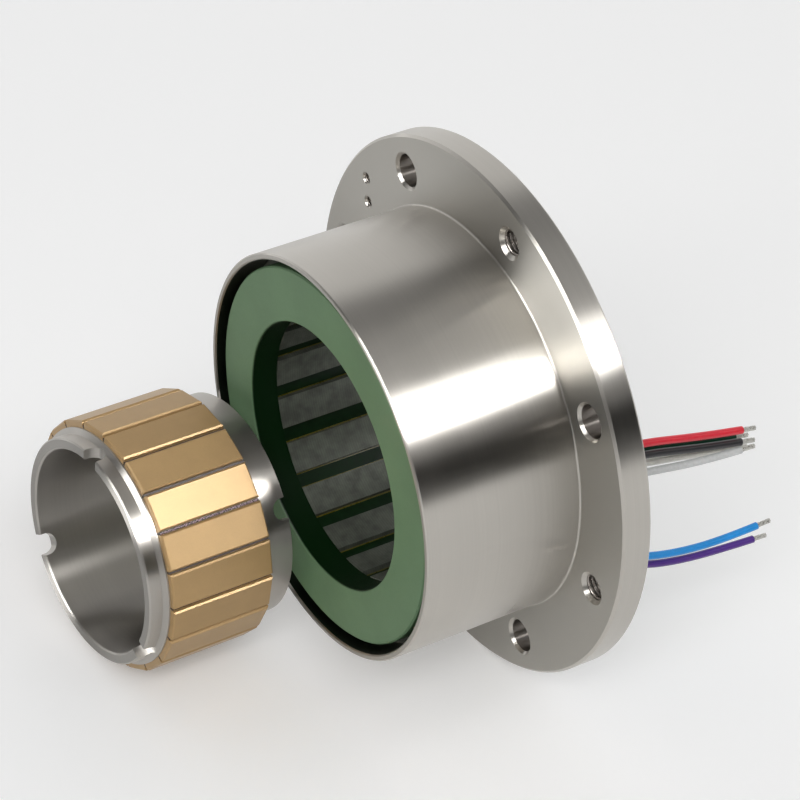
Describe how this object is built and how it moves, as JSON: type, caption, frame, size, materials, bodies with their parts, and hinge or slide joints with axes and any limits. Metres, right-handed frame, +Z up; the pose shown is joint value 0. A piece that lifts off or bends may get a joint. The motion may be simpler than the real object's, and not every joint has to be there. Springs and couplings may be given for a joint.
{
  "type": "frameless motor",
  "caption": "Frameless servo motor: a flanged stator with a slotted core and flying leads, and the separate magnet rotor that runs in its bore.",
  "frame": {"origin": "on the motor axis, in the plane of the flange face that seats on the machine", "axes": "-Y along the motor axis out of the stator's open mouth, towards the rotor; +Y out of the lead side; +Z up; +X to the right seen from the mouth"},
  "size_m": [0.1054, 0.1158, 0.105],
  "materials": {
    "steel": "turned stainless steel, satin",
    "hub_steel": "turned steel, satin",
    "laminations": "varnished laminated steel, dark",
    "liner_film": "amber insulating film",
    "wedge_board": "dark green pressed board",
    "copper_wire": "enamelled copper wire",
    "ring_moulding": "grey-green moulding, satin",
    "board_laminate": "green board",
    "sensor_package": "black moulded package",
    "grommet_rubber": "dark grey-green rubber",
    "adhesive_resin": "cured dark adhesive",
    "magnet_coat": "tan coated magnet, satin",
    "lead_jacket_red": "satin wire jacket",
    "lead_jacket_green": "satin wire jacket",
    "lead_jacket_black": "satin wire jacket",
    "lead_jacket_white": "satin wire jacket",
    "lead_jacket_grey": "satin wire jacket",
    "lead_jacket_blue": "satin wire jacket",
    "lead_jacket_violet": "satin wire jacket"
  },
  "bodies": {
    "stator": {"housing": "steel", "stator_core": "laminations", "slot_liners": "liner_film", "slot_wedges": "wedge_board", "coil_01": "copper_wire", "coil_02": "copper_wire", "coil_03": "copper_wire", "coil_04": "copper_wire", "coil_05": "copper_wire", "coil_06": "copper_wire", "coil_07": "copper_wire", "coil_08": "copper_wire", "coil_09": "copper_wire", "coil_10": "copper_wire", "coil_11": "copper_wire", "coil_12": "copper_wire", "coil_13": "copper_wire", "coil_14": "copper_wire", "coil_15": "copper_wire", "coil_16": "copper_wire", "coil_17": "copper_wire", "coil_18": "copper_wire", "front_end_ring": "ring_moulding", "rear_end_ring": "ring_moulding", "connection_board": "board_laminate", "position_sensor_1": "sensor_package", "position_sensor_2": "sensor_package", "position_sensor_3": "sensor_package", "upper_grommet": "grommet_rubber", "lower_grommet": "grommet_rubber", "lead_red": "lead_jacket_red", "lead_green": "lead_jacket_green", "lead_black": "lead_jacket_black", "lead_white": "lead_jacket_white", "lead_grey": "lead_jacket_grey", "lead_blue": "lead_jacket_blue", "lead_violet": "lead_jacket_violet"},
    "rotor": {"rotor_hub": "hub_steel", "magnet_adhesive": "adhesive_resin", "magnet_01": "magnet_coat", "magnet_02": "magnet_coat", "magnet_03": "magnet_coat", "magnet_04": "magnet_coat", "magnet_05": "magnet_coat", "magnet_06": "magnet_coat", "magnet_07": "magnet_coat", "magnet_08": "magnet_coat", "magnet_09": "magnet_coat", "magnet_10": "magnet_coat", "magnet_11": "magnet_coat", "magnet_12": "magnet_coat", "magnet_13": "magnet_coat", "magnet_14": "magnet_coat", "magnet_15": "magnet_coat", "magnet_16": "magnet_coat", "magnet_17": "magnet_coat", "magnet_18": "magnet_coat", "magnet_19": "magnet_coat", "magnet_20": "magnet_coat"}
  },
  "joints": [
    {"name": "rotor_spin", "type": "hinge", "parent": "stator", "child": "rotor", "pos_m": [-0.02653, -0.06611, -0.02581], "axis": [0.0592, -0.997, 0.0488], "continuous": true}
  ]
}
